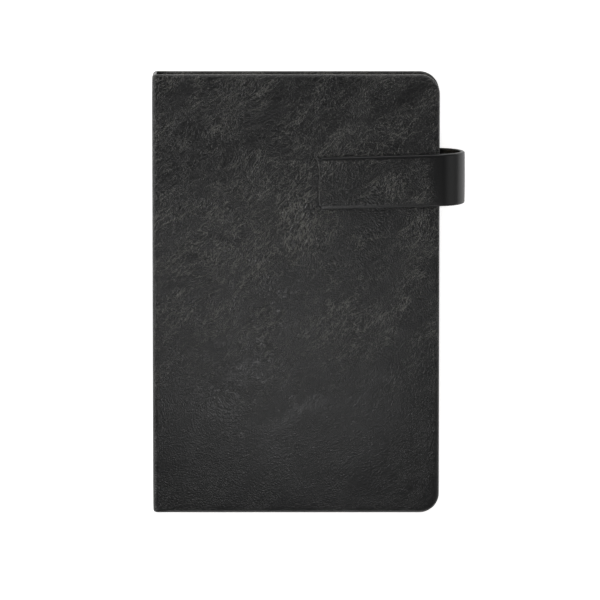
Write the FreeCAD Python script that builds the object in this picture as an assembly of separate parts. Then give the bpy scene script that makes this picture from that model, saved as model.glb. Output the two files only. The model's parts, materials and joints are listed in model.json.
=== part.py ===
"""Pocket notebook with a hard case, sewn pages and a magnetic strap round the fore-edge.

It lies closed on its back cover. X runs from the spine to the fore-edge, Y from tail to head
and Z up through the thickness. The origin is the middle of the back cover's outer face.
Sizes are in millimetres. One STEP file is written for each sub-part.
"""
import FreeCAD, Part
import math
import os

Vector = FreeCAD.Vector

# ---- Driving sizes -------------------------------------------------------------------------
COVER_WIDTH = 91.0        # spine face to fore-edge
COVER_HEIGHT = 140.0      # tail to head
CLOSED_THICKNESS = 14.0   # both covers and the pages, without the strap
CORNER_RADIUS = 6.3       # the covers' fore-edge corners

SKIN = 0.4                # leather-like sheet
COVER_THICKNESS = 2.0     # skin, board, turned-in skin and pastedown
TURN_IN = 12.0            # skin folded over onto the inside of a board
EDGE_ROUND = 1.3          # soft outer edge of a cover
INNER_EDGE_ROUND = 0.35   # the same edge on the inside
PASTEDOWN = 0.15          # endpaper glued inside a cover
PASTEDOWN_MARGIN = 3.0    # skin left showing round a pastedown

SPINE_ROUND = 1.6         # bend of the skin from the spine to a cover
SPINE_CARD = 0.6          # stiff strip inside the spine
HINGE_LINE = 4.0          # fold of the front cover, from the spine's outer face
BOARD_START = 4.5         # boards begin here, from the spine's outer face

FORE_EDGE_SQUARE = 3.0    # cover standing out past the leaves
HEAD_SQUARE = 2.5         # the same at head and tail
BLOCK_START = 3.2         # folded edge of the signatures, from the spine's outer face
LEAF_CORNER = 4.5
FOLD_ROUND = 0.45         # rounding of a signature's fold, as a share of its thickness
FLYLEAF = 0.12
SIGNATURES_PER_HALF = 6
LEAF_GAP = 0.05           # air between the two halves of the pages, and under the front cover
MULL = 0.4                # gauze and glue on the back of the signatures
MULL_SHORT = 5.0          # the mull stops this far from the leaves' head and tail
BAND_RADIUS = 0.8         # rolled edge of the headband and tailband

STRAP_WIDTH = 16.6
STRAP_THICKNESS = 1.35
STRAP_CENTRE_Y = 36.0     # towards the head
STRAP_REACH = 38.5        # length lying on the front cover
STRAP_TIP_RADIUS = 1.7
STRAP_CLEARANCE = 0.3     # the strap's lowest face above the surface the notebook lies on
STRAP_STANDOFF = 0.55     # straight length between the fore-edge and the loop
STRAP_HINGES = 4          # places where the loop bends, equally spread over half a turn
TONGUE_LENGTH = 14.0      # strap glued into the back cover
TONGUE_WIDTH = 15.0
TONGUE_LOW = 0.7
TONGUE_HIGH = 1.2

MAGNET_LENGTH = 10.0
MAGNET_WIDTH = 8.0
MAGNET_THICKNESS = 0.6
MAGNET_FROM_TIP = 3.0
PLATE_LENGTH = 14.0
PLATE_WIDTH = 10.0
PLATE_THICKNESS = 0.5

JOINT_GAP = 0.03          # play where two moving pieces of skin meet
STRAP_JOINT_ANGLE = 0.2   # degrees of play on each side of a bend in the strap

# ---- Places worked out from them -----------------------------------------------------------
SPINE_X = -COVER_WIDTH / 2
FORE_EDGE_X = COVER_WIDTH / 2
HALF_HEIGHT = COVER_HEIGHT / 2
MIDDLE_Z = CLOSED_THICKNESS / 2
INNER_FACE = COVER_THICKNESS
SKIN_TOP = COVER_THICKNESS - PASTEDOWN
BOARD_EDGE_TOP = SKIN_TOP - SKIN
HINGE_X = SPINE_X + HINGE_LINE
BOARD_X = SPINE_X + BOARD_START
BLOCK_X = SPINE_X + BLOCK_START
LEAF_FORE_X = FORE_EDGE_X - FORE_EDGE_SQUARE
LEAF_HALF_HEIGHT = HALF_HEIGHT - HEAD_SQUARE
SIGNATURE = (MIDDLE_Z - INNER_FACE - FLYLEAF - LEAF_GAP) / SIGNATURES_PER_HALF
STRAP_LOW_Y = STRAP_CENTRE_Y - STRAP_WIDTH / 2
STRAP_UNDER_Z = CLOSED_THICKNESS + LEAF_GAP
STRAP_TOP_Z = STRAP_UNDER_Z + STRAP_THICKNESS
LOOP_OUTER = (STRAP_TOP_Z - STRAP_CLEARANCE) / 2
LOOP_INNER = LOOP_OUTER - STRAP_THICKNESS
LOOP_X = FORE_EDGE_X + STRAP_STANDOFF
LOOP_Z = STRAP_CLEARANCE + LOOP_OUTER
STRAP_TIP_X = FORE_EDGE_X - STRAP_REACH
LINK_ANGLE = 180.0 / STRAP_HINGES
TOLERANCE = 1e-6


# ---- Shapes used more than once ------------------------------------------------------------
def rounded_outline(corners, z):
    """Closed wire at height z through (x, y, radius) corners, all of them right angles."""
    points = [Vector(x, y, z) for x, y, _ in corners]
    starts, ends, edges = [], [], []
    for i, (_, _, radius) in enumerate(corners):
        back = (points[i - 1] - points[i]).normalize()
        ahead = (points[(i + 1) % len(points)] - points[i]).normalize()
        starts.append(points[i] + back * radius)
        ends.append(points[i] + ahead * radius)
        if radius > 0:
            inward = (back + ahead).normalize()
            middle = points[i] + inward * radius * (math.sqrt(2) - 1)
            edges.append(Part.Arc(starts[i], middle, ends[i]).toShape())
        if i > 0:
            edges.append(Part.LineSegment(ends[i - 1], starts[i]).toShape())
    edges.append(Part.LineSegment(ends[-1], starts[0]).toShape())
    return Part.Wire(Part.__sortEdges__(edges))


def plate(x0, x1, half_height, z0, z1, spine_radius, fore_radius):
    """Flat plate with its own corner radius at the spine side and at the fore-edge side."""
    corners = [
        (x0, -half_height, spine_radius),
        (x1, -half_height, fore_radius),
        (x1, half_height, fore_radius),
        (x0, half_height, spine_radius),
    ]
    face = Part.Face(rounded_outline(corners, z0))
    return face.extrude(Vector(0, 0, z1 - z0))


def block(x0, x1, y0, y1, z0, z1):
    """Rectangular block between two opposite corners."""
    return Part.makeBox(x1 - x0, y1 - y0, z1 - z0, Vector(x0, y0, z0))


def rounded_rim(solid, z, radius, spine_x):
    """Round the edges of a plate's face at height z, leaving the edge on the spine side."""
    rim = []
    for edge in solid.Edges:
        ends = edge.Vertexes
        level = all(abs(v.Z - z) < TOLERANCE for v in ends)
        at_spine = all(abs(v.X - spine_x) < TOLERANCE for v in ends)
        if level and not at_spine:
            rim.append(edge)
    return solid.makeFillet(radius, rim)


def to_front(solid):
    """Turn a back cover's piece over, about the X axis at half thickness, to the front."""
    turned = solid.copy()
    turned.rotate(Vector(0, 0, MIDDLE_Z), Vector(1, 0, 0), 180)
    return turned


def loop_point(radius, degrees, y):
    """Point on the strap's loop. 0 degrees faces the fore-edge side, 90 degrees faces up."""
    angle = math.radians(degrees)
    return Vector(LOOP_X + radius * math.cos(angle), y, LOOP_Z + radius * math.sin(angle))


def loop_sector(start, end):
    """Piece of the strap's loop between two angles, over the strap's whole width."""
    y = STRAP_LOW_Y
    middle = (start + end) / 2
    outer = [loop_point(LOOP_OUTER, a, y) for a in (start, middle, end)]
    inner = [loop_point(LOOP_INNER, a, y) for a in (end, middle, start)]
    edges = [
        Part.Arc(*outer).toShape(),
        Part.LineSegment(outer[-1], inner[0]).toShape(),
        Part.Arc(*inner).toShape(),
        Part.LineSegment(inner[-1], outer[0]).toShape(),
    ]
    return Part.Face(Part.Wire(edges)).extrude(Vector(0, STRAP_WIDTH, 0))


# ---- Covers --------------------------------------------------------------------------------
def cover_board(board_x):
    """Board, thinner round its edge where the skin is turned in over it."""
    reach = FORE_EDGE_X - SKIN
    tall = HALF_HEIGHT - SKIN
    inner_radius = CORNER_RADIUS - SKIN
    board = plate(board_x, reach, tall, SKIN, BOARD_EDGE_TOP, 0, inner_radius)
    board = rounded_rim(board, SKIN, EDGE_ROUND - SKIN, board_x)
    raised = plate(board_x, FORE_EDGE_X - TURN_IN, HALF_HEIGHT - TURN_IN,
                   BOARD_EDGE_TOP, SKIN_TOP, 0, 0)
    return board.fuse(raised).removeSplitter()


def cover_skin(start_x):
    """Skin of one cover: outer sheet, soft rim on three sides and the turned-in flaps."""
    body = plate(start_x, FORE_EDGE_X, HALF_HEIGHT, 0, SKIN_TOP, 0, CORNER_RADIUS)
    body = rounded_rim(body, 0, EDGE_ROUND, start_x)
    body = rounded_rim(body, SKIN_TOP, INNER_EDGE_ROUND, start_x)
    room = cover_board(start_x - 1)
    return body.cut(room)


def pastedown():
    """Endpaper glued over the board and the turned-in skin."""
    return plate(BOARD_X, FORE_EDGE_X - PASTEDOWN_MARGIN, HALF_HEIGHT - PASTEDOWN_MARGIN,
                 SKIN_TOP, INNER_FACE, 0, CORNER_RADIUS - PASTEDOWN_MARGIN)


def back_cover():
    """Back board, skin and pastedown, with the slot that takes the strap's tongue."""
    slot = strap_tongue()
    return {
        "back_board": cover_board(BOARD_X).cut(slot),
        "back_cover_skin": cover_skin(SPINE_X + SPINE_ROUND + JOINT_GAP).cut(slot),
        "back_pastedown": pastedown(),
    }


def front_cover():
    """Front board, skin and pastedown, with the steel plate let into the board."""
    keeper = keeper_plate()
    return {
        "front_board": to_front(cover_board(BOARD_X)).cut(keeper),
        "front_cover_skin": to_front(cover_skin(HINGE_X + JOINT_GAP)),
        "front_pastedown": to_front(pastedown()),
        "keeper_plate": keeper,
    }


def keeper_plate():
    """Thin steel plate under the front skin, opposite the magnet in the strap's tip."""
    middle_x = STRAP_TIP_X + MAGNET_FROM_TIP + MAGNET_LENGTH / 2
    top = CLOSED_THICKNESS - SKIN
    return block(middle_x - PLATE_LENGTH / 2, middle_x + PLATE_LENGTH / 2,
                 STRAP_CENTRE_Y - PLATE_WIDTH / 2, STRAP_CENTRE_Y + PLATE_WIDTH / 2,
                 top - PLATE_THICKNESS, top)


# ---- Spine and front hinge -----------------------------------------------------------------
def spine_bend(z_corner, radius):
    """Cylinder that rounds the skin where the spine turns into a cover."""
    towards_middle = 1 if z_corner < MIDDLE_Z else -1
    centre = Vector(SPINE_X + SPINE_ROUND, -HALF_HEIGHT, z_corner + towards_middle * SPINE_ROUND)
    return Part.makeCylinder(radius, COVER_HEIGHT, centre, Vector(0, 1, 0))


def spine_profile(inset):
    """The spine's solid section with both outer corners rounded, shrunk by inset."""
    x1 = SPINE_X + SPINE_ROUND
    low = SPINE_ROUND
    high = CLOSED_THICKNESS - SPINE_ROUND
    solid = block(SPINE_X + inset, x1, -HALF_HEIGHT, HALF_HEIGHT, low, high)
    quarter = block(SPINE_X, x1, -HALF_HEIGHT, HALF_HEIGHT, 0, CLOSED_THICKNESS)
    for z_corner in (0, CLOSED_THICKNESS):
        bend = spine_bend(z_corner, SPINE_ROUND - inset).common(quarter)
        solid = solid.fuse(bend)
    return solid.removeSplitter()


def spine():
    """Spine skin, bent round both corners, and the stiff card glued inside it."""
    card_x = SPINE_X + SKIN
    return {
        "spine_skin": spine_profile(0).cut(spine_profile(SKIN)),
        "spine_card": block(card_x, card_x + SPINE_CARD, SKIN - HALF_HEIGHT, HALF_HEIGHT - SKIN,
                            SPINE_ROUND, CLOSED_THICKNESS - SPINE_ROUND),
    }


def front_hinge_strip():
    """Strip of skin between the spine's upper bend and the front cover's fold line."""
    return block(SPINE_X + SPINE_ROUND + JOINT_GAP, HINGE_X, -HALF_HEIGHT, HALF_HEIGHT,
                 CLOSED_THICKNESS - SKIN, CLOSED_THICKNESS)


# ---- Pages ---------------------------------------------------------------------------------
def signature(z0):
    """Leaves folded together and sewn: flat at the three trimmed sides, round at the fold."""
    leaves = plate(BLOCK_X, LEAF_FORE_X, LEAF_HALF_HEIGHT, z0, z0 + SIGNATURE, 0, LEAF_CORNER)
    fold = [e for e in leaves.Edges
            if all(abs(v.X - BLOCK_X) < TOLERANCE for v in e.Vertexes)
            and abs(e.Vertexes[0].Z - e.Vertexes[1].Z) < TOLERANCE]
    return leaves.makeFillet(SIGNATURE * FOLD_ROUND, fold)


def flyleaf(z0):
    """Free leaf of the endpaper at one end of the pages."""
    return plate(BLOCK_X, LEAF_FORE_X, LEAF_HALF_HEIGHT, z0, z0 + FLYLEAF, 0, LEAF_CORNER)


def pages():
    """Flyleaves and signatures, numbered upwards from the back cover."""
    pieces = {"back_flyleaf": flyleaf(INNER_FACE)}
    lower = INNER_FACE + FLYLEAF
    upper = MIDDLE_Z + LEAF_GAP / 2
    for i in range(SIGNATURES_PER_HALF):
        pieces[f"signature_{i + 1:02d}"] = signature(lower + i * SIGNATURE)
        number = SIGNATURES_PER_HALF + i + 1
        pieces[f"signature_{number:02d}"] = signature(upper + i * SIGNATURE)
    pieces["front_flyleaf"] = flyleaf(upper + SIGNATURES_PER_HALF * SIGNATURE)
    return pieces


def page_back():
    """Gauze glued over the folds, with a rolled band at head and tail."""
    low = INNER_FACE
    high = CLOSED_THICKNESS - INNER_FACE - LEAF_GAP
    mull_half = LEAF_HALF_HEIGHT - MULL_SHORT
    pieces = {"mull": block(BLOCK_X - MULL, BLOCK_X, -mull_half, mull_half, low, high)}
    for name, side in (("headband", 1), ("tailband", -1)):
        roll_y = side * (LEAF_HALF_HEIGHT + BAND_RADIUS)
        roll = Part.makeCylinder(BAND_RADIUS, high - low, Vector(BLOCK_X, roll_y, low),
                                 Vector(0, 0, 1))
        y0, y1 = sorted((side * mull_half, roll_y))
        tape = block(BLOCK_X - MULL, BLOCK_X, y0, y1, low, high)
        pieces[name] = roll.fuse(tape).removeSplitter()
    return pieces


# ---- Strap ---------------------------------------------------------------------------------
def strap_tongue():
    """Thin end of the strap, glued inside the back cover."""
    return block(FORE_EDGE_X - TONGUE_LENGTH, FORE_EDGE_X + JOINT_GAP,
                 STRAP_CENTRE_Y - TONGUE_WIDTH / 2, STRAP_CENTRE_Y + TONGUE_WIDTH / 2,
                 TONGUE_LOW, TONGUE_HIGH)


def strap_anchor():
    """The strap's fixed end: its tongue and the first part of the loop."""
    stub = block(FORE_EDGE_X + JOINT_GAP, LOOP_X, STRAP_LOW_Y, STRAP_LOW_Y + STRAP_WIDTH,
                 STRAP_CLEARANCE, STRAP_CLEARANCE + STRAP_THICKNESS)
    bend = loop_sector(-90, -90 + LINK_ANGLE / 2 - STRAP_JOINT_ANGLE)
    return strap_tongue().fuse([stub, bend]).removeSplitter()


def strap_tip():
    """The strap's free end: the last of the loop and the flat part with the magnet inside."""
    y0 = STRAP_LOW_Y
    y1 = y0 + STRAP_WIDTH
    corners = [
        (STRAP_TIP_X, y0, STRAP_TIP_RADIUS),
        (LOOP_X, y0, 0),
        (LOOP_X, y1, 0),
        (STRAP_TIP_X, y1, STRAP_TIP_RADIUS),
    ]
    flat = Part.Face(rounded_outline(corners, STRAP_UNDER_Z)).extrude(Vector(0, 0, STRAP_THICKNESS))
    bend = loop_sector(90 - LINK_ANGLE / 2 + STRAP_JOINT_ANGLE, 90)
    start_x = STRAP_TIP_X + MAGNET_FROM_TIP
    middle_z = STRAP_UNDER_Z + STRAP_THICKNESS / 2
    magnet = block(start_x, start_x + MAGNET_LENGTH,
                   STRAP_CENTRE_Y - MAGNET_WIDTH / 2, STRAP_CENTRE_Y + MAGNET_WIDTH / 2,
                   middle_z - MAGNET_THICKNESS / 2, middle_z + MAGNET_THICKNESS / 2)
    return {
        "strap_tip": flat.fuse(bend).removeSplitter().cut(magnet),
        "strap_magnet": magnet,
    }


def strap():
    """Anchor, equal links round the loop, and the tip."""
    pieces = {"strap_anchor": strap_anchor()}
    for i in range(STRAP_HINGES - 1):
        start = -90 + LINK_ANGLE / 2 + i * LINK_ANGLE
        link = loop_sector(start + STRAP_JOINT_ANGLE, start + LINK_ANGLE - STRAP_JOINT_ANGLE)
        pieces[f"strap_link_{i + 1}"] = link
    pieces.update(strap_tip())
    return pieces


# ---- Write every sub-part ------------------------------------------------------------------
def main():
    os.makedirs("parts", exist_ok=True)
    pieces = {"front_hinge_strip": front_hinge_strip()}
    for group in (back_cover(), front_cover(), spine(), pages(), page_back(), strap()):
        pieces.update(group)
    for name, solid in sorted(pieces.items()):
        solid.exportStep(f"parts/{name}.step")
        print(f"{name}: {len(solid.Solids)} solid, valid {solid.isValid()}, "
              f"{solid.Volume:.1f} mm3")


main()
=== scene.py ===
"""Pocket notebook: its visible surfaces and finishes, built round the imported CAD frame.

Lengths are metres in the frame's axes: X runs from the spine to the fore-edge, Y from tail to
head and Z from the back cover to the front cover.
"""
import json
import math

import bmesh
import bpy
import numpy as np
from bpy.props import (FloatProperty, FloatVectorProperty, IntProperty, PointerProperty,
                       StringProperty)
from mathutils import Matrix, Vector


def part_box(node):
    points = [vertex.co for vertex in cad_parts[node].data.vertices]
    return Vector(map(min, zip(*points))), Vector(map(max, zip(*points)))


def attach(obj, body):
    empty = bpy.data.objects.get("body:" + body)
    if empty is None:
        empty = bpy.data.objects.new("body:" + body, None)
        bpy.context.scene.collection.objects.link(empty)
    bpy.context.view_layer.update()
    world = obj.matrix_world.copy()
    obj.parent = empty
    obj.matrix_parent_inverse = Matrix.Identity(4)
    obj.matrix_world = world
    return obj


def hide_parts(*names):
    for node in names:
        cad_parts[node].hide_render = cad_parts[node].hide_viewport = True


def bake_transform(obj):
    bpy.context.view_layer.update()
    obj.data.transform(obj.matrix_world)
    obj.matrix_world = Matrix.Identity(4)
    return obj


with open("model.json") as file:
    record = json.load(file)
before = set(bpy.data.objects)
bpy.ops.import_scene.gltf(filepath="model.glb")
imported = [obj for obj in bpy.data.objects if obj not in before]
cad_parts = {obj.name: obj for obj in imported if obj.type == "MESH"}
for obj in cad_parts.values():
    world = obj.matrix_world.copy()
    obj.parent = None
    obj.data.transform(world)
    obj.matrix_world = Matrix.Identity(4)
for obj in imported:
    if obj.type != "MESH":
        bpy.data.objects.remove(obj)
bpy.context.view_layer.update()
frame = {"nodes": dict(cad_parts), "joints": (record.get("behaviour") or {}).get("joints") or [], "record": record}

bl_info = {
    "name": "Pocket notebook",
    "version": (1, 0, 0),
    "blender": (4, 5, 0),
    "location": "3D View > Sidebar > Notebook",
    "description": "Builds a hard-cased pocket notebook with a strap round its fore-edge",
    "category": "Object",
}

MM = 0.001

# ---- Places read from the frame ------------------------------------------------------------
BACK_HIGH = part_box("back_cover_skin")[1]
BOARD_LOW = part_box("back_board")[0]
SPINE_LOW, SPINE_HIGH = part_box("spine_skin")
CARD_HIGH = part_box("spine_card")[1]
MULL_LOW, MULL_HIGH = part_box("mull")
TIP_LOW, TIP_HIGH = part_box("strap_tip")
ANCHOR_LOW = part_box("strap_anchor")[0]
JOINTS = {joint["name"]: joint for joint in frame["joints"]}

SPINE_X = SPINE_LOW.x
SPINE_BEND = SPINE_HIGH.x - SPINE_LOW.x
FORE_X = BACK_HIGH.x
HALF_HEIGHT = BACK_HIGH.y
TOP_Z = SPINE_HIGH.z
MIDDLE_Z = TOP_Z / 2
COVER_DEPTH = BACK_HIGH.z
HINGE_X = JOINTS["cover_open"]["pos_m"][0]

STRAP_HALF_WIDTH = (TIP_HIGH.y - TIP_LOW.y) / 2
STRAP_Y = (TIP_HIGH.y + TIP_LOW.y) / 2
STRAP_TOP_Z = TIP_HIGH.z
STRAP_LOW_Z = ANCHOR_LOW.z
LOOP_RADIUS = (STRAP_TOP_Z - STRAP_LOW_Z) / 2
LOOP_Z = STRAP_LOW_Z + LOOP_RADIUS
STRAP_BENDS = [j for j in frame["joints"] if j["name"].startswith("strap_")]
LINK_TURN = 180 / len(STRAP_BENDS)
FIRST_BEND = STRAP_BENDS[0]["pos_m"]
LOOP_X = FIRST_BEND[0] - (LOOP_Z - FIRST_BEND[2]) * math.tan(math.radians(LINK_TURN / 2))

# ---- Making sizes that nobody would change ------------------------------------------------
CLEARANCE = 0.02 * MM            # keeps a replaced surface just off the board or card inside it
STRIP_DEPTH = 0.5 * MM           # skin alone, between a board and the spine
BOARD_STEP = 0.5 * MM            # the skin drops off the board's edge over this width
RIM_START, RIM_END = 1.6 * MM, 3.2 * MM   # a padded sheet thins to its rim between these
CROWN_REACH = 3 * MM             # a padded face's fall dies away over this distance
SPINE_EDGE = 1.0 * MM            # rounding of the skin's outer edge at the spine
SPINE_INNER_EDGE = 0.33 * MM     # the same on the inside
MID_STRIP = (SPINE_X + SPINE_BEND + HINGE_X) / 2 + 0.1 * MM   # seam of the front's hinge strip
BAND_MARGIN = 3 * MM             # a band's tape stops this far from head and tail
LOOP_START = FORE_X - 4 * MM     # buried end of the strap's first length
FLOOR_GAP = 0.3 * MM             # floor below the notebook
FLOOR_HALF = 12.0
SENSOR = 36.0                    # camera sensor in its own millimetres
LAMPS = (                        # name, place, target, size in metres, power in watts
    ("softbox_left", (-1.0, 0.3, 0.5), (0, 0, 0), (0.5, 0.4), 7),
    ("softbox_right", (0.85, -0.1, 0.75), (0, 0, 0), (0.9, 0.9), 1.7),
    ("softbox_head", (-0.2, 1.0, 0.45), (0, 0, 0), (0.9, 0.5), 4),
    ("softbox_tail", (-0.1, -1.0, 0.35), (0, 0, 0), (0.9, 0.3), 2.5),
    ("sheen", (-0.009, -0.029, 0.15), (-0.009, -0.012, 0), (0.04, 0.04), 0.05),
)


# ---- Settings a user would change ----------------------------------------------------------
class NotebookCase(bpy.types.PropertyGroup):
    """Shape and finish of the case."""

    corner: FloatProperty(name="Corner radius", description="Fore-edge corners of the covers",
                          default=6.3 * MM, unit="LENGTH")
    edge: FloatProperty(name="Soft edge", description="Rounding of a padded cover's outer edge",
                        default=1.2 * MM, unit="LENGTH")
    inner: FloatProperty(name="Inner edge", description="Rounding of a cover's inner edge",
                         default=0.75 * MM, unit="LENGTH")
    crown: FloatProperty(name="Padding", description="Extra fall of the face towards its edge",
                         default=0.12 * MM, unit="LENGTH")
    cell: FloatProperty(name="Grain cell", description="Size of one pit of the grain",
                        default=0.65 * MM, unit="LENGTH")
    ground: StringProperty(name="Ground colour", description="Valleys of the grain, sRGB hex",
                           default="080809")
    patch: StringProperty(name="Patch colour", description="Paler patches of the grain, sRGB hex",
                          default="0D0D0D")
    # Painted highlight: this paler colour goes on the crests of the grain in place of the light they catch.
    crest_highlight_colour: StringProperty(name="Crest colour", description="Rubbed crests of the grain, sRGB hex",
                          default="4B4A46")


class NotebookPages(bpy.types.PropertyGroup):
    """Shape and colour of the pages."""

    leaves: IntProperty(name="Leaves", description="Leaves in one signature", default=8)
    corner: FloatProperty(name="Corner radius", description="Fore-edge corners of the leaves",
                          default=4.5 * MM, unit="LENGTH")
    fold: FloatProperty(name="Fold", description="Rounding of a signature's folded side",
                        default=0.34 * MM, unit="LENGTH")
    ragged: FloatProperty(name="Ragged edge", description="Most that a leaf is set in by chance",
                          default=0.06 * MM, unit="LENGTH")
    groove: FloatProperty(name="Leaf groove", description="Depth of the line between two leaves",
                          default=0.05 * MM, unit="LENGTH")
    ruling: FloatProperty(name="Ruling", description="Distance between two ruled lines",
                          default=6 * MM, unit="LENGTH")
    paper: StringProperty(name="Paper colour", description="Ivory leaves, sRGB hex",
                          default="F6F0E1")


class NotebookStrap(bpy.types.PropertyGroup):
    """Shape of the strap."""

    thickness: FloatProperty(name="Thickness", description="Both skins and the stiffener",
                             default=1.35 * MM, unit="LENGTH")
    edge: FloatProperty(name="Edge rounding", description="Rounding of the strap's outer edges",
                        default=0.65 * MM, unit="LENGTH")
    inner: FloatProperty(name="Inner edge", description="Rounding of the strap's inner edges",
                         default=0.455 * MM, unit="LENGTH")
    crown: FloatProperty(name="Padding", description="Extra fall of the face towards its edge",
                         default=0.05 * MM, unit="LENGTH")
    tip: FloatProperty(name="Tip corners", description="Corner radius at the strap's free end",
                       default=1.9 * MM, unit="LENGTH")
    skew: FloatProperty(name="Skew", description="Angle at which the closed strap lies",
                        default=math.radians(1.6), subtype="ANGLE")


class NotebookStage(bpy.types.PropertyGroup):
    """Camera and light."""

    distance: FloatProperty(name="Camera distance", description="From the front cover",
                            default=2.0, unit="LENGTH")
    tilt: FloatProperty(name="Camera tilt", description="Lean towards the head of the notebook",
                        default=math.radians(7.0), subtype="ANGLE")
    width: FloatProperty(name="Framed width", description="Width of the view at the front cover",
                         default=190.2 * MM, unit="LENGTH")
    air: FloatProperty(name="Air light", description="Strength of the even light from all sides",
                       default=0.08)
    aim: FloatVectorProperty(name="Aim", description="Middle of the view on the front cover",
                             default=(1.3 * MM, -1.7 * MM), size=2, subtype="XYZ_LENGTH")


# ---- Node and colour helpers ---------------------------------------------------------------
def linear(code):
    """Linear RGBA of an sRGB hex colour."""
    channels = [int(code[i:i + 2], 16) / 255 for i in (0, 2, 4)]
    return [c / 12.92 if c <= 0.04045 else ((c + 0.055) / 1.055) ** 2.4 for c in channels] + [1]


def add(tree, kind, *values, sockets=None, out=0, **settings):
    """Adds a node with its settings, sets or links its inputs, and gives one of its outputs.

    values fill the first inputs in order; sockets holds other inputs by name or number.
    """
    made = tree.nodes.new("ShaderNode" + kind)
    for name, value in settings.items():
        setattr(made, name, value)
    for name, value in [*enumerate(values), *(sockets or {}).items()]:
        if isinstance(value, bpy.types.NodeSocket):
            tree.links.new(value, made.inputs[name])
        else:
            made.inputs[name].default_value = value
    return made.outputs[out] if made.outputs else made


def new_material(name):
    """Material with an empty node tree, and the tree."""
    material = bpy.data.materials.new(name)
    material.use_nodes = True
    material.node_tree.nodes.clear()
    return material, material.node_tree


def rest_place(tree):
    """Place on the surface in millimetres, as stored on the mesh before any pose."""
    return add(tree, "Attribute", out="Vector", attribute_name="rest_mm")


def object_place(tree):
    """Object coordinates in millimetres, for CAD nodes and the floor."""
    source = add(tree, "TexCoord", out="Object")
    return add(tree, "VectorMath", source, sockets={"Scale": 1 / MM}, operation="SCALE")


def stretched_along(tree, place, degrees, ratio):
    """Place whose patterns come out longer by a ratio along a direction in the X-Y plane."""
    turned = add(tree, "Mapping", place, sockets={"Rotation": (0, 0, math.radians(-degrees))})
    return add(tree, "Mapping", turned, sockets={"Scale": (1 / ratio, 1, 1)})


def crest_lines(tree, place, scale, width):
    """Thin lines, 1 along the places where a noise passes through its middle value."""
    noise = add(tree, "TexNoise", place, out="Fac", sockets={
        "Scale": scale, "Detail": 3.0, "Roughness": 0.5, "Distortion": 0.12})
    away = add(tree, "Math", noise, 0.5, operation="SUBTRACT")
    away = add(tree, "Math", away, operation="ABSOLUTE")
    return add(tree, "MapRange", away, 0.0, width, 1.0, 0.0, interpolation_type="SMOOTHSTEP")


def ridge_net(tree, place, scale, width):
    """Raised net between pits: 1 on the borders of Voronoi cells, falling smoothly to 0."""
    border = add(tree, "TexVoronoi", place, out="Distance", sockets={"Scale": scale},
                 feature="DISTANCE_TO_EDGE")
    return add(tree, "MapRange", border, 0.0, width, 1.0, 0.0, interpolation_type="SMOOTHSTEP")


# ---- Materials -----------------------------------------------------------------------------
def strap_liveliness(tree, place, skew):
    """Share of the grain left on the strap: little round the loop and along its pressed edges."""
    split = add(tree, "SeparateXYZ", place).node
    x, y = split.outputs[0], split.outputs[1]
    fore_edge, edge = FORE_X / MM, STRAP_HALF_WIDTH / MM
    pulled = add(tree, "MapRange", x, fore_edge - 5.0, fore_edge + 1.0, 1.0, 0.04,
                 interpolation_type="SMOOTHSTEP")
    # The long edges climb at the strap's skew.
    climb = add(tree, "Math", x, (TIP_LOW.x + LOOP_X) / 2 / MM, operation="SUBTRACT")
    climb = add(tree, "Math", climb, math.tan(skew), operation="MULTIPLY")
    aside = add(tree, "Math", y, STRAP_Y / MM, operation="SUBTRACT")
    aside = add(tree, "Math", aside, climb, operation="SUBTRACT")
    aside = add(tree, "Math", aside, operation="ABSOLUTE")
    pressed = add(tree, "MapRange", aside, edge - 1.4, edge - 0.7, 1.0, 0.08,
                  interpolation_type="SMOOTHSTEP")
    return add(tree, "Math", pulled, pressed, operation="MULTIPLY")


def gathered_patch(tree, bent):
    """Share of gathering: 1 in an oval beside the strap's tip, falling smoothly to 0 round it."""
    middle = (TIP_LOW.x / MM - 5.0, STRAP_Y / MM - 9.0, TOP_Z / MM)
    half_sizes = (9, 20, 40)
    offset = add(tree, "VectorMath", bent, middle, operation="SUBTRACT")
    offset = add(tree, "Mapping", offset, sockets={
        "Rotation": (0, 0, math.radians(25)), "Scale": [1 / size for size in half_sizes]})
    reach = add(tree, "VectorMath", offset, out="Value", operation="LENGTH")
    return add(tree, "MapRange", reach, 0.1, 1.2, 1.0, 0.0, interpolation_type="SMOOTHSTEP")


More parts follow.
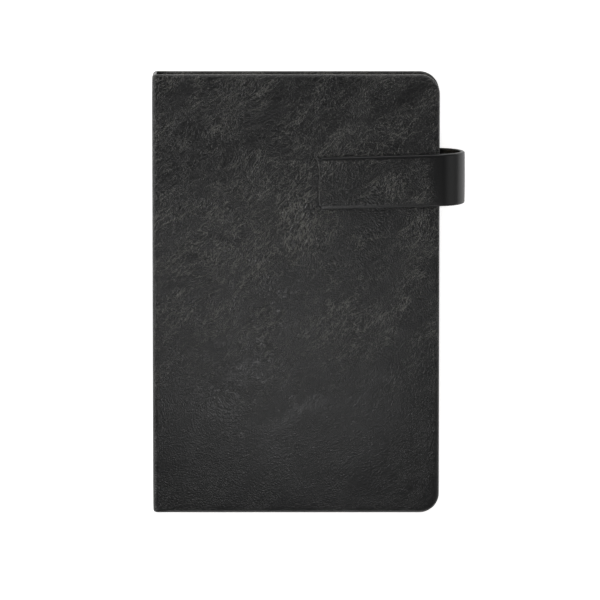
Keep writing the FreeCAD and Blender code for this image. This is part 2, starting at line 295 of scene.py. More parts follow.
def leatherette(name, case, skew=None):
    """Polyurethane leather on cloth, embossed with a creased grain and pressed over a board."""
    # A hard, thin coating: near-black with a satin surface. The emboss leaves a raised net round
    # pits under a millimetre across, pulled long where the sheet was stretched, and its crests
    # are painted paler as a highlight, for the light they catch. Scales are repeats per millimetre;
    # directions are degrees from X.
    material, tree = new_material(name)
    place = rest_place(tree)
    cell = case.cell / MM
    bend_reach = (12.0, 12.0, 12.0)

    # A slow drift over about 20 mm bends every pattern, so that no crease runs straight.
    drift = add(tree, "TexNoise", place, out="Color", sockets={"Scale": 0.05, "Detail": 2.0})
    warp = add(tree, "VectorMath", drift, (0.5, 0.5, 0.5), operation="SUBTRACT")
    warp = add(tree, "VectorMath", warp, bend_reach, operation="MULTIPLY")
    bent = add(tree, "VectorMath", place, warp, operation="ADD")

    # Patches about 9 mm across, where the grain is strong or weak.
    patch = add(tree, "TexNoise", stretched_along(tree, bent, 40, 2.6), out="Fac", sockets={
        "Scale": 0.11, "Detail": 4.0, "Roughness": 0.6})
    patch = add(tree, "MapRange", patch, 0.3, 0.64, interpolation_type="SMOOTHSTEP")

    if skew is None:
        # The grain is lively over the upper part of the sheet and calmer towards the tail.
        y = add(tree, "SeparateXYZ", place, out=1)
        lively = add(tree, "MapRange", y, -45.0, 0.0, 0.45, 1.0, interpolation_type="SMOOTHSTEP")
        gathered = gathered_patch(tree, bent)
    else:
        lively = strap_liveliness(tree, place, skew)
        gathered = add(tree, "Math", lively, 0.3, operation="MULTIPLY")

    ridges = ridge_net(tree, stretched_along(tree, bent, 48, 1.5), 1 / cell, 0.3)
    wide_ridges = ridge_net(tree, stretched_along(tree, bent, 62, 2.1), 0.55 / cell, 0.24)

    # Wrinkles: a fine net, creases about 3 mm apart, and the folds of the gathered patch.
    net = crest_lines(tree, stretched_along(tree, bent, 44, 2.8), 0.5 / cell, 0.04)
    long_creases = crest_lines(tree, stretched_along(tree, bent, 40, 6.0), 0.34, 0.022)
    folds = crest_lines(tree, stretched_along(tree, bent, 66, 2.2), 0.28 / cell, 0.04)
    fine = add(tree, "TexNoise", place, out="Fac", sockets={
        "Scale": 1.5 / cell, "Detail": 2.0, "Roughness": 0.6})
    broken = add(tree, "MapRange", fine, 0.34, 0.58, 0.25, 1.0, interpolation_type="SMOOTHSTEP")

    strength = add(tree, "MapRange", patch, 0.0, 1.0, 0.5, 1.0, interpolation_type="SMOOTHSTEP")
    strength = add(tree, "Math", lively, strength, operation="MULTIPLY")
    crests = add(tree, "Math", net, long_creases, operation="MAXIMUM")
    crests = add(tree, "Math", crests, strength, operation="MULTIPLY")
    crests = add(tree, "Math", crests, broken, operation="MULTIPLY")
    folds = add(tree, "Math", folds, gathered, operation="MULTIPLY")
    crests = add(tree, "Math", crests, folds, operation="MAXIMUM")
    ridges = add(tree, "Math", ridges, strength, operation="MULTIPLY")
    grain = add(tree, "Mix", gathered, sockets={2: ridges, 3: wide_ridges})

    # Relief: the grain, the crests, more depth where the sheet gathers, and the fine tooth.
    deeper = add(tree, "MapRange", gathered, 0.0, 1.0, 1.0, 1.7, interpolation_type="SMOOTHSTEP")
    height = add(tree, "Math", crests, 0.7, grain, operation="MULTIPLY_ADD")
    height = add(tree, "Math", height, deeper, operation="MULTIPLY")
    height = add(tree, "Math", fine, strength, height, operation="MULTIPLY_ADD")
    bump = add(tree, "Bump", sockets={"Height": height, "Strength": 1.0, "Distance": 0.11 * MM})

    # Painted highlight: the highest crests are painted paler, most of all where the sheet gathers, in place of the
    # light they catch.
    crest_highlight = add(tree, "Math", grain, 0.4, operation="MULTIPLY")
    crest_highlight = add(tree, "Math", crests, 0.9, crest_highlight, operation="MULTIPLY_ADD")
    crest_highlight = add(tree, "Math", fine, 0.5, crest_highlight, operation="MULTIPLY_ADD")
    crest_highlight = add(tree, "MapRange", crest_highlight, 0.55, 1.15, interpolation_type="SMOOTHSTEP")
    highlight_reach = add(tree, "Math", gathered, 0.9, strength, operation="MULTIPLY_ADD")
    crest_highlight = add(tree, "Math", crest_highlight, highlight_reach, operation="MULTIPLY", use_clamp=True)
    ground = add(tree, "Mix", patch, out=2, data_type="RGBA",
                 sockets={6: linear(case.ground), 7: linear(case.patch)})
    # The crests take the paler colour here as a painted highlight.
    colour = add(tree, "Mix", crest_highlight, out=2, data_type="RGBA",
                 sockets={6: ground, 7: linear(case.crest_highlight_colour)})
    roughness = add(tree, "MapRange", height, 0.2, 1.8, 0.39, 0.31,
                    interpolation_type="SMOOTHSTEP")
    add(tree, "OutputMaterial", add(tree, "BsdfPrincipled", sockets={
        "Base Color": colour, "Roughness": roughness, "Normal": bump}))
    return material


def greyboard():
    """Pressed greyboard: pulped waste paper, matte, flecked with darker fibres."""
    # Flecks under a millimetre across over a soft grey, and no gloss at all.
    material, tree = new_material("pressed_greyboard")
    fleck = add(tree, "TexNoise", object_place(tree), out="Fac", sockets={
        "Scale": 1.6, "Detail": 6.0})
    share = add(tree, "MapRange", fleck, 0.35, 0.7, interpolation_type="SMOOTHSTEP")
    colour = add(tree, "Mix", share, out=2, data_type="RGBA",
                 sockets={6: linear("8E8880"), 7: linear("5E5A54")})
    bump = add(tree, "Bump", sockets={"Height": fleck, "Strength": 0.4, "Distance": 0.05 * MM})
    add(tree, "OutputMaterial", add(tree, "BsdfPrincipled", sockets={
        "Base Color": colour, "Roughness": 0.9, "Normal": bump}))
    return material


def ivory_paper(name, pages, place_of, ruled=False):
    """Uncoated ivory book paper: soft, matte, with a faint cloudy formation."""
    # Clouds about 3 mm across come from uneven pulp; the fibre's tooth is near 0.2 mm.
    material, tree = new_material(name)
    place = place_of(tree)
    cloud = add(tree, "TexNoise", place, out="Fac", sockets={
        "Scale": 0.35, "Detail": 5.0, "Roughness": 0.65})
    fibre = add(tree, "TexNoise", place, out="Fac", sockets={"Scale": 4.5, "Detail": 3.0})
    share = add(tree, "MapRange", cloud, 0.3, 0.7, interpolation_type="SMOOTHSTEP")
    colour = add(tree, "Mix", share, out=2, data_type="RGBA",
                 sockets={6: linear(pages.paper), 7: linear("EDE4CF")})
    if ruled:
        # Pale grey lines 0.25 mm wide, kept clear of the head margin.
        y = add(tree, "SeparateXYZ", place, out=1)
        margin = HALF_HEIGHT / MM - 15.0
        line = add(tree, "Math", y, pages.ruling / MM / 2, operation="PINGPONG")
        line = add(tree, "MapRange", line, 0.10, 0.2, 1.0, 0.0, interpolation_type="SMOOTHSTEP")
        head = add(tree, "MapRange", y, margin, margin + 0.1, 1.0, 0.0,
                   interpolation_type="SMOOTHSTEP")
        line = add(tree, "Math", line, head, operation="MULTIPLY")
        line = add(tree, "Math", line, 0.55, operation="MULTIPLY")
        colour = add(tree, "Mix", line, out=2, data_type="RGBA",
                     sockets={6: colour, 7: linear("A9ABAE")})
    bump = add(tree, "Bump", sockets={"Height": fibre, "Strength": 0.25, "Distance": 0.02 * MM})
    add(tree, "OutputMaterial", add(tree, "BsdfPrincipled", sockets={
        "Base Color": colour, "Roughness": 0.85, "Normal": bump}))
    return material


def cut_edge_paper(pages):
    """Trimmed edges of the ivory leaves: fine lines along the edge, some leaves darker."""
    # Leaves are a tenth of a millimetre thick; the streaks are drawn twice as coarse to show.
    material, tree = new_material("trimmed_leaf_edges")
    stretched = add(tree, "Mapping", rest_place(tree), sockets={"Scale": (0.05, 0.05, 5.0)})
    streak = add(tree, "TexNoise", stretched, out="Fac", sockets={"Scale": 1.0, "Detail": 2.0})
    share = add(tree, "MapRange", streak, 0.35, 0.68, interpolation_type="SMOOTHSTEP")
    colour = add(tree, "Mix", share, out=2, data_type="RGBA",
                 sockets={6: linear(pages.paper), 7: linear("CFC3A8")})
    bump = add(tree, "Bump", sockets={"Height": streak, "Strength": 0.5, "Distance": 0.03 * MM})
    add(tree, "OutputMaterial", add(tree, "BsdfPrincipled", sockets={
        "Base Color": colour, "Roughness": 0.9, "Normal": bump}))
    return material


def woven(name, thread, light, dark, roughness):
    """Cloth woven one over, one under, with threads at the given spacing in millimetres."""
    # Each crossing stands up a little and is lighter than the gaps; the threads aren't glossy.
    material, tree = new_material(name)
    split = add(tree, "SeparateXYZ", rest_place(tree)).node
    turn = math.pi / thread
    warp = add(tree, "Math", split.outputs[1], turn, operation="MULTIPLY")
    warp = add(tree, "Math", warp, operation="SINE")
    weft = add(tree, "Math", split.outputs[2], turn, operation="MULTIPLY")
    weft = add(tree, "Math", weft, operation="SINE")
    weave = add(tree, "Math", warp, weft, operation="MULTIPLY")
    share = add(tree, "MapRange", weave, -0.6, 0.6, interpolation_type="SMOOTHSTEP")
    colour = add(tree, "Mix", share, out=2, data_type="RGBA",
                 sockets={6: linear(dark), 7: linear(light)})
    bump = add(tree, "Bump", sockets={"Height": weave, "Strength": 0.6, "Distance": 0.08 * MM})
    add(tree, "OutputMaterial", add(tree, "BsdfPrincipled", sockets={
        "Base Color": colour, "Roughness": roughness, "Normal": bump}))
    return material


def plated_steel(name, code):
    """Thin rolled and plated steel: a bright metal with lines along the strip."""
    # Rolling leaves lines a tenth of a millimetre apart, which make the gloss uneven.
    material, tree = new_material(name)
    stretched = add(tree, "Mapping", object_place(tree), sockets={"Scale": (0.15, 9.0, 9.0)})
    line = add(tree, "TexNoise", stretched, out="Fac", sockets={"Scale": 1.0, "Detail": 3.0})
    colour = add(tree, "Mix", line, out=2, data_type="RGBA",
                 sockets={6: linear(code), 7: linear("8A8D90")})
    roughness = add(tree, "MapRange", line, 0.3, 0.7, 0.28, 0.42,
                    interpolation_type="SMOOTHSTEP")
    add(tree, "OutputMaterial", add(tree, "BsdfPrincipled", sockets={
        "Base Color": colour, "Roughness": roughness, "Metallic": 1.0}))
    return material


def light_table():
    """Opal acrylic sheet of a light table: plain white, matte, and lit a little from below."""
    # It gives an even pale ground without shadows; only a faint tooth varies its white.
    material, tree = new_material("opal_light_table")
    tooth = add(tree, "TexNoise", object_place(tree), out="Fac", sockets={
        "Scale": 0.4, "Detail": 4.0})
    colour = add(tree, "Mix", tooth, out=2, data_type="RGBA",
                 sockets={6: linear("FAFAFA"), 7: linear("FDFDFD")})
    add(tree, "OutputMaterial", add(tree, "BsdfPrincipled", sockets={
        "Base Color": colour, "Roughness": 0.95, "Specular IOR Level": 0.1,
        "Emission Color": linear("FFFFFF"), "Emission Strength": 0.8}))
    return material


# ---- Mesh helpers --------------------------------------------------------------------------
def grid_quads(index):
    """Quads of a grid of corner numbers."""
    quads = np.stack([index[:-1, :-1], index[1:, :-1], index[1:, 1:], index[:-1, 1:]], axis=-1)
    return quads.reshape(-1, 4)


def ladder(first, second):
    """Quads between two rows of corner numbers."""
    return np.stack([first[:-1], first[1:], second[1:], second[:-1]], axis=-1)


def make_piece(name, points, faces, materials, slots=None, sharp=40):
    """Mesh object from points and faces, with outward normals, smooth shading and rest places.

    Edges that turn by more than sharp degrees stay sharp. slots gives each face's material.
    """
    mesh = bpy.data.meshes.new(name)
    mesh.from_pydata(points.tolist(), [], faces)
    for material in materials:
        mesh.materials.append(material)
    if slots is not None:
        mesh.polygons.foreach_set("material_index", np.asarray(slots, np.int32))
    work = bmesh.new()
    work.from_mesh(mesh)
    bmesh.ops.remove_doubles(work, verts=work.verts, dist=1e-7)
    bmesh.ops.recalc_face_normals(work, faces=work.faces)
    work.to_mesh(mesh)
    work.free()
    mesh.polygons.foreach_set("use_smooth", np.ones(len(mesh.polygons), bool))
    mesh.set_sharp_from_angle(angle=math.radians(sharp))
    places = np.empty(len(mesh.vertices) * 3, np.float32)
    mesh.vertices.foreach_get("co", places)
    kept = mesh.attributes.new("rest_mm", "FLOAT_VECTOR", "POINT")
    kept.data.foreach_set("vector", places / MM)
    mesh.update()
    made = bpy.data.objects.new(name, mesh)
    bpy.context.scene.collection.objects.link(made)
    return made


def edge_drop(distance, radius):
    """Quarter circle: a soft edge falls by its radius at the outline and by nothing inside it."""
    inside = np.clip(distance, 0, radius)
    return radius - np.sqrt(np.maximum(radius ** 2 - (radius - inside) ** 2, 0))


def smooth_step(value, low, high):
    """Smooth rise from 0 at low to 1 at high: thrice the share squared less twice its cube."""
    share = np.clip((value - low) / (high - low), 0, 1)
    return share * share * (3 - 2 * share)


def padded_sheet(path, half_width, corner, depth, rim_depth, outer, inner, crown, middle, rows):
    """Closed padded sheet carried along a path in X and Z.

    path holds x, z, the inward normal's x and z, and the distance from the sheet's rounded end,
    one column for each station. At a station the sheet runs across Y between plus and minus its
    half width, which shrinks along a circle in the two corners of the rounded end. Each point's
    distance to the outline sets how far the outer and inner faces have curved in, each along a
    quarter circle, and crown adds a fall that dies away exponentially. middle is the sheet's
    centre line in Y, rim_depth the thickness at its long edges and depth elsewhere.
    """
    x, z, inward_x, inward_z, along = path
    end = np.clip(along, 0, corner)
    half = half_width - corner + np.sqrt(np.maximum(corner ** 2 - (corner - end) ** 2, 0))
    turn = np.linspace(0, math.pi / 2, 9)
    share = np.linspace(0, 1, rows + 1)[1:]
    widest = outer.max()
    near = widest * (1 - np.cos(turn))
    offsets = np.concatenate([np.tile(near, (len(x), 1)),
                              widest + share * (half[:, None] - widest)], axis=1)
    upper = half[:, None] - offsets
    across = np.concatenate([-upper, upper[:, -2::-1]], axis=1)

    in_corner_x = corner - along[:, None]
    in_corner_y = np.abs(across) - (half_width - corner)
    distance = np.minimum(along[:, None], half_width - np.abs(across))
    round_part = corner - np.hypot(in_corner_x, in_corner_y)
    distance = np.where((in_corner_x > 0) & (in_corner_y > 0), round_part, distance)
    distance = np.maximum(distance, 0)

    outer, inner = outer[:, None], inner[:, None]
    sink = edge_drop(distance, np.broadcast_to(outer, distance.shape))
    sink = sink + crown * np.exp(-distance / CROWN_REACH)
    rim = 1 - smooth_step(half_width - np.abs(across), RIM_START, RIM_END)
    thick = depth[:, None] + np.maximum(rim_depth[:, None] - depth[:, None], 0) * rim
    back = thick - edge_drop(distance, np.broadcast_to(inner, distance.shape))
    faces = []
    for level in (sink, back):
        faces.append(np.stack([x[:, None] + inward_x[:, None] * level,
                               across + middle[:, None],
                               z[:, None] + inward_z[:, None] * level], axis=-1))
    return faces


def closed_shell(outer, inner, first=0):
    """Points and quads of a solid between two grids, with walls all round.

    Corner numbers start at first, the number of points that the piece has already.
    """
    rows, columns = outer.shape[:2]
    top = first + np.arange(rows * columns).reshape(rows, columns)
    under = top + rows * columns
    faces = np.concatenate([
        grid_quads(top), grid_quads(under)[:, ::-1],
        ladder(top[:, 0], under[:, 0]), ladder(under[:, -1], top[:, -1]),
        ladder(under[0], top[0]), ladder(top[-1], under[-1])])
    return np.concatenate([outer.reshape(-1, 3), inner.reshape(-1, 3)]), faces.tolist()


def capped_tube(rings):
    """Points and faces of a tube through rings of points, closed by one face at each end.

    The two end faces are the last ones.
    """
    index = np.arange(rings.shape[0] * rings.shape[1]).reshape(rings.shape[:2])
    ahead = np.roll(index, -1, axis=1)
    sides = np.stack([index[:-1], ahead[:-1], ahead[1:], index[1:]], axis=-1).reshape(-1, 4)
    return rings.reshape(-1, 3), sides.tolist() + [index[0, ::-1].tolist(), index[-1].tolist()]


# ---- Case ----------------------------------------------------------------------------------
def case_path(case, flipped):
    """Stations of the skin from a cover's fore-edge to the middle of the spine.

    The path is straight along the cover, turns a quarter circle into the spine and runs straight
    to mid height. Stations crowd where the outline, the board's edge or the bend curve.
    """
    turn = np.linspace(0, math.pi / 2, 22)
    corner_x = FORE_X - case.corner * (1 - np.cos(turn))
    flat_x = np.linspace(FORE_X - case.corner, BOARD_LOW.x + 0.1 * MM, 70)[1:]
    step_x = np.linspace(BOARD_LOW.x, BOARD_LOW.x - BOARD_STEP, 7)
    strip_x = np.linspace(BOARD_LOW.x - BOARD_STEP, SPINE_X + SPINE_BEND, 12)[1:]
    x = np.concatenate([corner_x, flat_x, step_x, strip_x])
    z = np.zeros_like(x)
    inward_x, inward_z = np.zeros_like(x), np.ones_like(x)

    bend = np.linspace(0, math.pi / 2, 15)[1:]
    bend_x = SPINE_X + SPINE_BEND * (1 - np.sin(bend))
    bend_z = SPINE_BEND * (1 - np.cos(bend))
    wall_z = np.linspace(SPINE_BEND, MIDDLE_Z, 8)[1:]
    x = np.concatenate([x, bend_x, np.full_like(wall_z, SPINE_X)])
    z = np.concatenate([z, bend_z, wall_z])
    inward_x = np.concatenate([inward_x, np.sin(bend), np.ones_like(wall_z)])
    inward_z = np.concatenate([inward_z, np.cos(bend), np.zeros_like(wall_z)])
    along = np.concatenate([FORE_X - x[:-len(wall_z) - len(bend)],
                            np.full(len(bend) + len(wall_z), FORE_X - SPINE_X)])
    if flipped:
        z, inward_z = TOP_Z - z, -inward_z
    return np.stack([x, z, inward_x, inward_z, along])


def case_half(case, flipped):
    """Outer and inner grids of the skin from one fore-edge to the middle of the spine.

    The thickness steps from the whole cover to the skin alone past the board, and then to skin
    and card round the spine; both edges' rounding grows from the spine to the cover.
    """
    path = case_path(case, flipped)
    x, z = path[0], path[1]
    height = TOP_Z - z if flipped else z
    strip = smooth_step(x, BOARD_LOW.x - 0.9 * BOARD_STEP, BOARD_LOW.x)
    spine = smooth_step(height, 0, SPINE_BEND * 0.95)
    card_depth = CARD_HIGH.x - SPINE_X + CLEARANCE
    depth = STRIP_DEPTH + (COVER_DEPTH + CLEARANCE / 2 - STRIP_DEPTH) * strip
    depth = depth + (card_depth - STRIP_DEPTH) * spine
    cover = smooth_step(x, SPINE_X + SPINE_BEND, BOARD_LOW.x + 4 * MM)
    outer = SPINE_EDGE + (case.edge - SPINE_EDGE) * cover
    inner = SPINE_INNER_EDGE + (case.inner - SPINE_INNER_EDGE) * cover
    rim_depth = outer + inner + CLEARANCE
    return padded_sheet(path, HALF_HEIGHT, case.corner, depth, rim_depth, outer, inner,
                        case.crown, np.zeros_like(x), 44)


class NOTEBOOK_OT_case(bpy.types.Operator):
    """Builds the leather-like skin of the case in three parts: the back cover with half the spine, the other half
    of the spine with part of the front hinge strip, and the front cover
    """

    bl_idname = "notebook.case"
    bl_label = "Case skin"

    def execute(self, context):
        case = context.scene.notebook_case
        skin = leatherette("leatherette_case", case)
        back = case_half(case, False)
        front = case_half(case, True)
        cut = int(np.argmax(front[0][:, 0, 0] < MID_STRIP)) + 1

        piece = make_piece("case_back", *closed_shell(*back), [skin])
        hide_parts("back_cover_skin")
        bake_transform(piece)

        spine_part = closed_shell(*(grid[cut - 1:] for grid in front))
        piece = make_piece("case_spine", *spine_part, [skin])
        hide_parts("spine_skin", "front_hinge_strip")
        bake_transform(piece)

        cover_part = closed_shell(*(grid[:cut] for grid in front))
        piece = make_piece("case_front", *cover_part, [skin])
        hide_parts("front_cover_skin")
        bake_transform(piece)
        return {"FINISHED"}


def finish_node(name, material):
    """Gives a CAD node its material."""
    mesh = frame["nodes"][name].data
    mesh.materials.clear()
    mesh.materials.append(material)


class NOTEBOOK_OT_boards(bpy.types.Operator):
    """Finishes the boards, the spine card and the steel inside the case"""

    bl_idname = "notebook.boards"
    bl_label = "Boards and steel"

    def execute(self, context):
        board = greyboard()
        for name in ("back_board", "front_board", "spine_card"):
            finish_node(name, board)
        finish_node("keeper_plate", plated_steel("zinc_plated_steel", "B9BCC0"))
        finish_node("strap_magnet", plated_steel("nickel_plated_magnet", "A7A49E"))
        return {"FINISHED"}


# ---- Pages ---------------------------------------------------------------------------------
def leaf_outline(low, high, corner):
    """Points and outward normals round a leaf: square at the spine, arcs at the fore-edge."""
    turn = np.linspace(0, math.pi / 2, 12)
    run_x = np.linspace(low.x, high.x - corner, 16)
    run_y = np.linspace(low.y + corner, high.y - corner, 22)[1:-1]
    back_y = np.linspace(high.y, low.y, 24)[1:-1]
    parts = [
        (run_x, np.full_like(run_x, low.y), 0 * run_x, 0 * run_x - 1),
        (high.x - corner + corner * np.sin(turn[1:]), low.y + corner - corner * np.cos(turn[1:]),
         np.sin(turn[1:]), -np.cos(turn[1:])),
        (np.full_like(run_y, high.x), run_y, 0 * run_y + 1, 0 * run_y),
        (high.x - corner + corner * np.cos(turn), high.y - corner + corner * np.sin(turn),
         np.cos(turn), np.sin(turn)),
        (run_x[-2::-1], np.full_like(run_x[1:], high.y), 0 * run_x[1:], 0 * run_x[1:] + 1),
        (np.full_like(back_y, low.x), back_y, 0 * back_y - 1, 0 * back_y),
    ]
    x, y, normal_x, normal_y = (np.concatenate(column) for column in zip(*parts))
    return x, y, normal_x, normal_y


def leaf_stack(name, node, pages, rng, materials):
    """Stack of leaves in one CAD node's place.

    The outline is carried up through the stack. Each leaf bulges by the groove's depth at its
    middle, is set in by its own small chance amount on the trimmed sides, and the fold side
    follows a half circle over the whole stack.
    """
    low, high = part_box(node)
    leaves = pages.leaves
    x, y, normal_x, normal_y = leaf_outline(low, high, pages.corner)
    steps = np.linspace(0, leaves, 4 * leaves + 1)
    level = low.z + (high.z - low.z) * steps / leaves
    within = steps - np.floor(np.minimum(steps, leaves - 1e-9))
    chance = rng.uniform(0, pages.ragged, leaves + 1)
    set_in = chance[np.minimum(steps.astype(int), leaves - 1)]
    trimmed = set_in + pages.groove * (1 - np.sin(np.pi * within) ** 0.5)
    height = np.abs(2 * steps / leaves - 1)
    folded = pages.fold * (1 - np.sqrt(np.maximum(1 - height ** 2, 0)))
    at_fold = (normal_x < -0.5)[None, :]
    inset = np.where(at_fold, folded[:, None], trimmed[:, None])
    ring = np.stack([x[None] - normal_x[None] * inset, y[None] - normal_y[None] * inset,
                     np.broadcast_to(level[:, None], inset.shape)], axis=-1)
    ring[..., 0] = np.where(x[None] < low.x + 0.1 * MM, low.x + folded[:, None], ring[..., 0])
    points, faces = capped_tube(ring)
    slots = [0] * (len(faces) - 2) + [1, 1]
    piece = make_piece(name, points, faces, materials, slots)
    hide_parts(node)
    return piece


class NOTEBOOK_OT_pages(bpy.types.Operator):
    """Builds the signatures as stacks of trimmed leaves"""

    bl_idname = "notebook.pages"
    bl_label = "Signatures"

    def execute(self, context):
        pages = context.scene.notebook_pages
        materials = [cut_edge_paper(pages),
                     ivory_paper("ruled_ivory_paper", pages, rest_place, ruled=True)]
        rng = np.random.default_rng(7)
        bodies = frame["record"]["behaviour"]["bodies"]
        for body, nodes in bodies.items():
            for node in nodes:
                if node.startswith("signature_"):
                    piece = leaf_stack("leaves_" + node[-2:], node, pages, rng, materials)
                    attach(piece, body)
        return {"FINISHED"}


class NOTEBOOK_OT_endpapers(bpy.types.Operator):
    """Finishes the pastedowns and flyleaves"""

    bl_idname = "notebook.endpapers"
    bl_label = "Endpapers"

    def execute(self, context):
        paper = ivory_paper("ivory_endpaper", context.scene.notebook_pages, object_place)
        for name in ("back_pastedown", "front_pastedown", "back_flyleaf", "front_flyleaf"):
            finish_node(name, paper)
        return {"FINISHED"}


def slab(low, high, rows, columns):
    """Outer and inner grids of a thin slab: two flat grids in Y and Z, at its low and high X."""
    y, z = np.meshgrid(np.linspace(low.y, high.y, rows), np.linspace(low.z, high.z, columns),
                       indexing="ij")
    return [np.stack([np.full_like(y, x), y, z], axis=-1) for x in (low.x, high.x)]


def rolled_band(low, high, side):
    """Rolled edge of a band: a cylinder along Z, ribbed by the thread wound round its core.

    The radius falls by a share of the size of a cosine that repeats every turn of the thread.
    """
    thread, groove, end_share = 0.5 * MM, 0.09, 0.85
    radius = high.x - MULL_HIGH.x
    centre_y = high.y - radius if side > 0 else low.y + radius
    around = np.linspace(0, 2 * math.pi, 24, endpoint=False)
    level = np.linspace(low.z, high.z, 121)
    rib = 1 - groove * np.abs(np.cos(math.pi * (level - low.z) / thread))
    width = radius * rib
    width[[0, -1]] *= end_share
    x = MULL_HIGH.x + width[:, None] * np.cos(around)
    y = centre_y + width[:, None] * np.sin(around)
    return capped_tube(np.stack([x, y, np.broadcast_to(level[:, None], x.shape)], axis=-1))


class NOTEBOOK_OT_page_back(bpy.types.Operator):
    """Builds the gauze on the back of the pages and the bands at head and tail"""

    bl_idname = "notebook.page_back"
    bl_label = "Gauze and bands"

    def execute(self, context):
        # Gauze is an open weave. The silk is finer than this and is drawn coarser to show.
        gauze = woven("bookbinding_gauze", 0.9, "E9E4D6", "B5AC98", roughness=0.9)
        silk = woven("silk_headband", 0.5, "2A2A2C", "121213", roughness=0.6)
        piece = make_piece("gauze", *closed_shell(*slab(MULL_LOW, MULL_HIGH, 60, 25)), [gauze])
        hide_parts("mull")
        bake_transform(piece)
        for name, side in (("headband", 1), ("tailband", -1)):
            low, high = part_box(name)
            points, faces = rolled_band(low, high, side)
            tape_high = Vector((MULL_HIGH.x, min(high.y, HALF_HEIGHT - BAND_MARGIN), high.z))
            tape_low = Vector((MULL_LOW.x, max(low.y, BAND_MARGIN - HALF_HEIGHT), low.z))
            tape_points, tape_faces = closed_shell(*slab(tape_low, tape_high, 8, 25), len(points))
            piece = make_piece("band_" + name, np.concatenate([points, tape_points]),
                               faces + tape_faces, [silk])
            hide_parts(name)
            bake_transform(piece)
        return {"FINISHED"}


def strap_path(start, end, tip):
    """Stations of the strap between two places on its way from the back cover to its tip.

    start is None for the end inside the back cover, and end is None for the free tip with its
    corner radius tip; between them the places are angles on the half circle of the loop. A
    station lies every 2.5 degrees of the loop.
    """
    x, z, inward_x, inward_z = [], [], [], []
    if start is None:
        run = np.linspace(LOOP_START, LOOP_X, 10)[:-1]
        x.append(run)
        z.append(np.full_like(run, STRAP_LOW_Z))
        inward_x.append(0 * run)
        inward_z.append(0 * run + 1)
    low = -90 if start is None else start
    high = 90 if end is None else end
    angle = np.radians(np.linspace(low, high, int(abs(high - low) / 2.5) + 1))
    x.append(LOOP_X + LOOP_RADIUS * np.cos(angle))
    z.append(LOOP_Z + LOOP_RADIUS * np.sin(angle))
    inward_x.append(-np.cos(angle))
    inward_z.append(-np.sin(angle))
    if end is None:
        turn = np.linspace(math.pi / 2, 0, 14)
        run = np.concatenate([np.linspace(LOOP_X, TIP_LOW.x + tip, 36)[1:-1],
                              TIP_LOW.x + tip * (1 - np.cos(turn))])
        x.append(run)
        z.append(np.full_like(run, STRAP_TOP_Z))
        inward_x.append(0 * run)
        inward_z.append(0 * run - 1)
    x, z, inward_x, inward_z = map(np.concatenate, (x, z, inward_x, inward_z))
    along = x - TIP_LOW.x if end is None else np.full_like(x, 1.0)
    return np.stack([x, z, inward_x, inward_z, np.abs(along)])


def strap_shift(path, skew):
    """Sideways place of the strap: it climbs at the skew's slope along its own length."""
    x, z = path[0], path[1]
    round_loop = np.arctan2(z - LOOP_Z, x - LOOP_X)
    past_edge = np.where(x > LOOP_X, LOOP_RADIUS * (math.pi / 2 - round_loop), 0)
    buried = np.where((x <= LOOP_X) & (z < LOOP_Z), LOOP_RADIUS * math.pi + LOOP_X - x, 0)
    on_cover = np.where((x <= LOOP_X) & (z >= LOOP_Z), x - LOOP_X, 0)
    middle = (TIP_LOW.x - LOOP_X) / 2
    return STRAP_Y + math.tan(skew) * (past_edge + buried + on_cover - middle)


def strap_piece(name, material, strap, start, end):
    """One closed length of the strap: the padded sheet carried along the strap's path."""
    path = strap_path(start, end, strap.tip)
    thick, edge, inner = (np.full(path.shape[1], size)
                          for size in (strap.thickness, strap.edge, strap.inner))
    grids = padded_sheet(path, STRAP_HALF_WIDTH, strap.tip, thick, thick, edge, inner,
                         strap.crown, strap_shift(path, strap.skew), 14)
    piece = make_piece(name, *closed_shell(*grids), [material])
    return piece


class NOTEBOOK_OT_strap(bpy.types.Operator):
    """Builds the strap in lengths that follow one another round the loop, one for each of its bends"""

    bl_idname = "notebook.strap"
    bl_label = "Strap"

    def execute(self, context):
        strap = context.scene.notebook_strap
        skin = leatherette("leatherette_strap", context.scene.notebook_case, strap.skew)
        links = [joint["child"] for joint in STRAP_BENDS]
        for i in range(len(links)):
            start = None if i == 0 else -90 + i * LINK_TURN
            end = None if i == len(links) - 1 else -90 + (i + 1) * LINK_TURN
            piece = strap_piece(f"strap_part_{i + 1}", skin, strap, start, end)
            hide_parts("strap_anchor" if i == 0 else f"strap_link_{i}")
            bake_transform(piece)
        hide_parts("strap_tip")
        return {"FINISHED"}


# ---- Stage ---------------------------------------------------------------------------------
def area_light(name, place, target, size, power):
    """Soft rectangular lamp at a place, facing a target."""
    data = bpy.data.lights.new(name, "AREA")
    data.shape = "RECTANGLE"
    data.size, data.size_y = size
    data.energy = power
    lamp = bpy.data.objects.new(name, data)
    lamp.location = place
    lamp.rotation_euler = (Vector(target) - Vector(place)).to_track_quat("-Z", "Y").to_euler()
    bpy.context.scene.collection.objects.link(lamp)


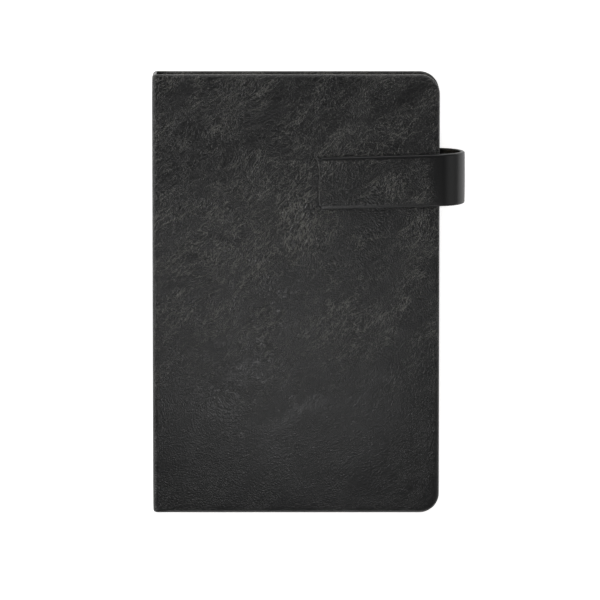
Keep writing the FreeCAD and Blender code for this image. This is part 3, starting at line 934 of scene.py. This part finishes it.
class NOTEBOOK_OT_stage(bpy.types.Operator):
    """Builds the floor, the soft studio light and the camera"""

    bl_idname = "notebook.stage"
    bl_label = "Stage"

    def execute(self, context):
        stage = context.scene.notebook_stage
        corners = np.array([(-1, -1, 0), (1, -1, 0), (1, 1, 0), (-1, 1, 0)]) * FLOOR_HALF
        corners[:, 2] = -FLOOR_GAP
        floor = make_piece("floor", corners, [(0, 1, 2, 3)], [light_table()])

        world = bpy.data.worlds.new("studio_air")
        world.use_nodes = True
        air = world.node_tree.nodes["Background"]
        air.inputs["Color"].default_value = linear("F4F5F6")
        air.inputs["Strength"].default_value = stage.air
        context.scene.world = world
        for lamp in LAMPS:
            area_light(*lamp)

        camera = bpy.data.objects.new("camera", bpy.data.cameras.new("camera"))
        camera.data.sensor_width = SENSOR
        camera.data.lens = SENSOR * stage.distance / stage.width
        camera.data.clip_end = 2 * FLOOR_HALF
        target = Vector((stage.aim[0], stage.aim[1], TOP_Z))
        lean = Vector((0, math.sin(stage.tilt), math.cos(stage.tilt)))
        camera.location = target + lean * stage.distance
        camera.rotation_euler = (-stage.tilt, 0, 0)
        context.scene.collection.objects.link(camera)
        context.scene.camera = camera
        context.scene.view_settings.view_transform = "Standard"
        return {"FINISHED"}


class NOTEBOOK_PT_panel(bpy.types.Panel):
    """Settings and buttons in the 3D view's sidebar"""

    bl_idname = "NOTEBOOK_PT_panel"
    bl_label = "Pocket notebook"
    bl_space_type = "VIEW_3D"
    bl_region_type = "UI"
    bl_category = "Notebook"

    def draw(self, context):
        for group in GROUPS:
            settings = getattr(context.scene, group)
            for name in settings.bl_rna.properties.keys():
                if name not in ("name", "rna_type"):
                    self.layout.prop(settings, name)
        for operator in OPERATORS:
            self.layout.operator(operator.bl_idname)


GROUPS = {
    "notebook_case": NotebookCase,
    "notebook_pages": NotebookPages,
    "notebook_strap": NotebookStrap,
    "notebook_stage": NotebookStage,
}
OPERATORS = (
    NOTEBOOK_OT_case,
    NOTEBOOK_OT_boards,
    NOTEBOOK_OT_pages,
    NOTEBOOK_OT_endpapers,
    NOTEBOOK_OT_page_back,
    NOTEBOOK_OT_strap,
    NOTEBOOK_OT_stage,
)


def register():
    """Registers the settings, the operators and the panel."""
    for group, settings in GROUPS.items():
        bpy.utils.register_class(settings)
        setattr(bpy.types.Scene, group, PointerProperty(type=settings))
    for operator in OPERATORS:
        bpy.utils.register_class(operator)
    bpy.utils.register_class(NOTEBOOK_PT_panel)


def unregister():
    """Removes what register added."""
    bpy.utils.unregister_class(NOTEBOOK_PT_panel)
    for operator in reversed(OPERATORS):
        bpy.utils.unregister_class(operator)
    for group, settings in GROUPS.items():
        delattr(bpy.types.Scene, group)
        bpy.utils.unregister_class(settings)


def main():
    register()
    bpy.ops.notebook.case()
    bpy.ops.notebook.boards()
    bpy.ops.notebook.pages()
    bpy.ops.notebook.endpapers()
    bpy.ops.notebook.page_back()
    bpy.ops.notebook.strap()
    bpy.ops.notebook.stage()


if __name__ == "__main__":
    main()
